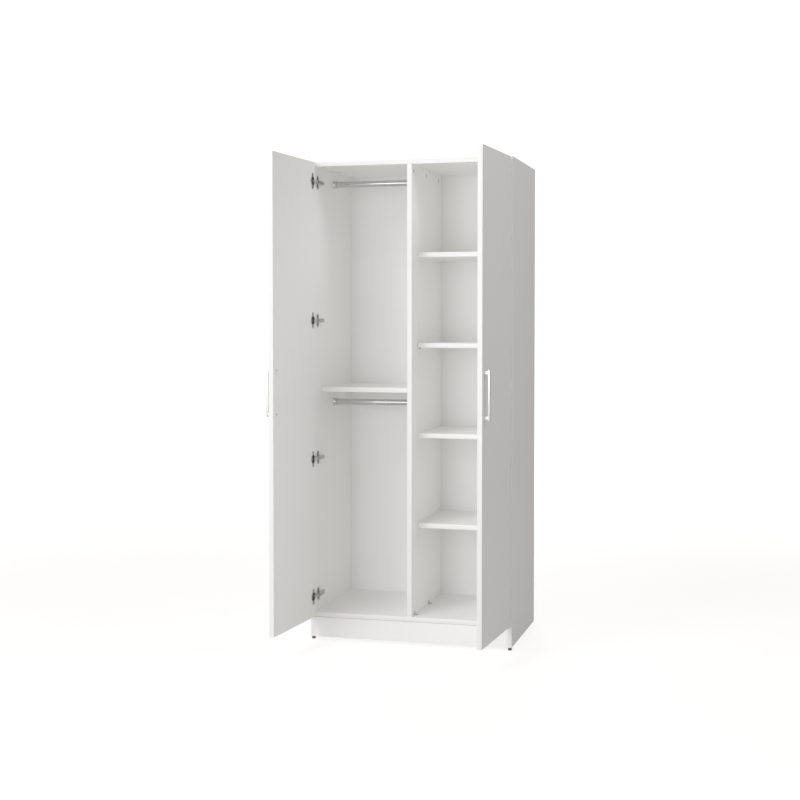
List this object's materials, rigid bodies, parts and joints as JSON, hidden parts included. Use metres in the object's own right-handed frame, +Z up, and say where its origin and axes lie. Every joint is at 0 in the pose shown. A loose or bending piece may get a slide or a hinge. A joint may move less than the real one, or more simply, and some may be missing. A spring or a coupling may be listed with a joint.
{
  "type": "wardrobe",
  "caption": "Hinged-door wardrobe: hanging rods around a fixed shelf on one side, shelves on the other, overlay doors on concealed cup hinges, bridge handles and a kick board.",
  "frame": {"origin": "on the floor, at the centre of the carcass footprint (side panel to side panel, front edge to rear edge)", "axes": "+X to the right seen from the front, +Y to the back (towards the wall), +Z up; the doors open towards -Y"},
  "size_m": [0.8407, 0.9076, 1.865],
  "materials": {
    "white_board": "satin white melamine over particle board",
    "back_board": "hardboard, white lacquered on its inner face",
    "chromed_steel": "bright chrome",
    "zinc_plated_steel": "dull zinc plate",
    "nickelled_steel": "nickel plate",
    "beech": "bare beech",
    "black_plastic": "matte black",
    "pull_metal": "satin nickel"
  },
  "bodies": {
    "cabinet": {"left_side_panel": "white_board", "right_side_panel": "white_board", "top_panel": "white_board", "bottom_panel": "white_board", "centre_divider": "white_board", "front_plinth": "white_board", "rear_plinth": "white_board", "mid_shelf": "white_board", "right_shelf_1": "white_board", "right_shelf_2": "white_board", "right_shelf_3": "white_board", "right_shelf_4": "white_board", "left_back_panel": "back_board", "right_back_panel": "back_board", "upper_rod": "chromed_steel", "lower_rod": "chromed_steel", "upper_rod_sockets": "chromed_steel", "lower_rod_sockets": "chromed_steel", "rod_socket_screws": "zinc_plated_steel", "front_glides": "black_plastic", "rear_glides": "black_plastic", "shelf_pins": "chromed_steel", "cam_locks": "zinc_plated_steel", "cam_bolts": "zinc_plated_steel", "dowels": "beech", "back_nails": "zinc_plated_steel", "divider_brackets": "zinc_plated_steel", "bracket_screws": "zinc_plated_steel", "left_hinge_plates": "nickelled_steel", "right_hinge_plates": "nickelled_steel", "hinge_plate_screws": "nickelled_steel", "hinge_arm_screws": "zinc_plated_steel", "hinge_pins": "zinc_plated_steel", "left_hinge_arm_1": "nickelled_steel", "left_hinge_arm_2": "nickelled_steel", "left_hinge_arm_3": "nickelled_steel", "left_hinge_arm_4": "nickelled_steel", "right_hinge_arm_1": "nickelled_steel", "right_hinge_arm_2": "nickelled_steel", "right_hinge_arm_3": "nickelled_steel", "right_hinge_arm_4": "nickelled_steel"},
    "left_door_leaf": {"left_door": "white_board", "left_handle": "pull_metal", "left_handle_screws": "nickelled_steel", "left_cup_screws": "nickelled_steel", "left_hinge_cup_1": "nickelled_steel", "left_hinge_cup_2": "nickelled_steel", "left_hinge_cup_3": "nickelled_steel", "left_hinge_cup_4": "nickelled_steel"},
    "left_links": {"left_hinge_links": "nickelled_steel"},
    "right_door_leaf": {"right_door": "white_board", "right_handle": "pull_metal", "right_handle_screws": "nickelled_steel", "right_cup_screws": "nickelled_steel", "right_hinge_cup_1": "nickelled_steel", "right_hinge_cup_2": "nickelled_steel", "right_hinge_cup_3": "nickelled_steel", "right_hinge_cup_4": "nickelled_steel"},
    "right_links": {"right_hinge_links": "nickelled_steel"}
  },
  "joints": [
    {"name": "left_door_swing", "type": "hinge", "parent": "cabinet", "child": "left_door_leaf", "pos_m": [-0.391, -0.268, 0.978], "axis": [0, 0, -1], "range_deg": [-94.2, 13.8]},
    {"name": "right_door_swing", "type": "hinge", "parent": "cabinet", "child": "right_door_leaf", "pos_m": [0.391, -0.268, 0.978], "axis": [0, 0, 1], "range_deg": [-86.3, 21.7]},
    {"name": "left_links_swing", "type": "hinge", "parent": "cabinet", "child": "left_links", "pos_m": [-0.369, -0.251, 0.978], "axis": [0, 0, -1], "range_deg": [-6.8, 45.4]},
    {"name": "right_links_swing", "type": "hinge", "parent": "cabinet", "child": "right_links", "pos_m": [0.369, -0.251, 0.978], "axis": [0, 0, 1], "range_deg": [-10.6, 41.6]}
  ],
  "couplings": [
    {"joint": "left_links_swing", "follows": "left_door_swing", "ratio": -0.48},
    {"joint": "right_links_swing", "follows": "right_door_swing", "ratio": -0.48}
  ]
}
